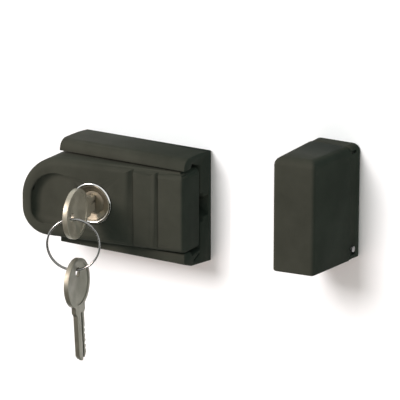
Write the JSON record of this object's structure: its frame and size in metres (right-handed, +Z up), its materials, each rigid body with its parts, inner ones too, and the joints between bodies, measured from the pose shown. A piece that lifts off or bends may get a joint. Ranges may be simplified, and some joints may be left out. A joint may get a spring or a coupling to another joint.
{
  "type": "window security lock",
  "caption": "Surface-mounted window lock: keyed hand slide in a C-shaped rail that slides into a separate box keeper, with key, key ring and spare key.",
  "frame": {"origin": "middle of the rail's flat back face, where it meets the window frame", "axes": "+X along the slide's throw to the keeper, +Y into the window frame, +Z up"},
  "size_m": [0.128, 0.0999, 0.0872],
  "materials": {
    "dark_coat": "satin powder coat",
    "dark_coat_slide": "satin powder coat",
    "dark_plastic": "fine satin",
    "chrome": "polished",
    "key_nickel": "nickel plated, satin",
    "steel": "zinc plated",
    "hard_steel": "hardened, dull",
    "brass": "turned",
    "zinc_cast": "as cast",
    "nylon": "natural nylon"
  },
  "bodies": {
    "rail": {"rail_body": "dark_coat", "stop_pin": "steel"},
    "slide": {"slide_cover": "dark_coat_slide", "guide_carriage": "zinc_cast", "carriage_screws": "steel", "bolt_insert": "hard_steel", "saw_rods": "hard_steel", "insert_screw": "steel", "slide_back_plate": "dark_plastic", "friction_pads": "nylon", "cylinder_rim": "chrome", "cylinder_barrel": "chrome", "barrel_nut": "brass"},
    "plug": {"plug": "chrome", "wafers": "brass", "plug_clip": "steel", "locking_cam": "hard_steel", "cam_screw": "steel"},
    "key": {"lock_key": "key_nickel"},
    "ring": {"key_ring": "steel"},
    "spare": {"spare_key": "key_nickel"},
    "keeper": {"keeper_cover": "dark_plastic", "keeper_base": "dark_plastic", "keeper_shim": "dark_plastic", "striker_plate": "steel", "striker_screws": "steel", "keeper_set_screw": "steel"}
  },
  "joints": [
    {"name": "slide_throw", "type": "slide", "parent": "rail", "child": "slide", "axis": [1, 0, 0], "range_m": [0, 0.0135]},
    {"name": "plug_turn", "type": "hinge", "parent": "slide", "child": "plug", "pos_m": [-0.0103, -0.03036, 0.0021], "axis": [0.1392, -0.9903, 0], "range_deg": [0, 90]},
    {"name": "key_pull", "type": "slide", "parent": "plug", "child": "key", "axis": [0.1392, -0.9903, 0], "range_m": [0, 0.02]},
    {"name": "ring_swing", "type": "hinge", "parent": "key", "child": "ring", "pos_m": [-0.00747, -0.05046, 0.0012], "axis": [-0.9903, -0.1392, 0], "range_deg": [-15, 60]},
    {"name": "spare_key_swing", "type": "hinge", "parent": "ring", "child": "spare", "pos_m": [-0.00516, -0.05014, -0.02108], "axis": [-0.9903, -0.1392, 0], "range_deg": [-35, 35]},
    {"name": "keeper_approach", "type": "slide", "parent": "rail", "child": "keeper", "axis": [-0.6388, -0.7694, 0], "range_m": [0, 0.04289]}
  ]
}
